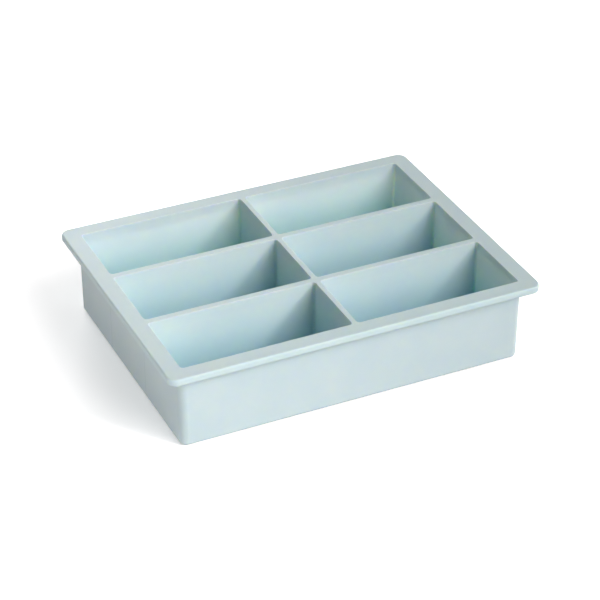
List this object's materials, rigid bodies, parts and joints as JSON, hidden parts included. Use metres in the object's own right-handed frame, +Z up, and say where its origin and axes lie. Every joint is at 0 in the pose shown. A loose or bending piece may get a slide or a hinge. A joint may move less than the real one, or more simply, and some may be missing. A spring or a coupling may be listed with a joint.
{
  "type": "ice cube tray",
  "caption": "Rectangular silicone ice cube tray with a flat overhanging rim and deep straight-sided bar cells split by upright dividers.",
  "frame": {"origin": "centre of the flat base, on the surface that the tray stands on", "axes": "+Z up out of the cells, +X along the tray's length, +Y across it towards the back"},
  "size_m": [0.176, 0.1332, 0.0395],
  "materials": {
    "silicone": "matt moulded silicone, pale aqua, slightly translucent where it is thin"
  },
  "bodies": {
    "root": {"rim_front": "silicone", "rim_back": "silicone", "rim_left": "silicone", "rim_right": "silicone", "wall_front": "silicone", "wall_back": "silicone", "wall_left": "silicone", "wall_right": "silicone", "base": "silicone", "long_divider": "silicone", "cross_divider_front_left": "silicone", "cross_divider_front_right": "silicone", "cross_divider_back_left": "silicone", "cross_divider_back_right": "silicone"}
  },
  "joints": []
}
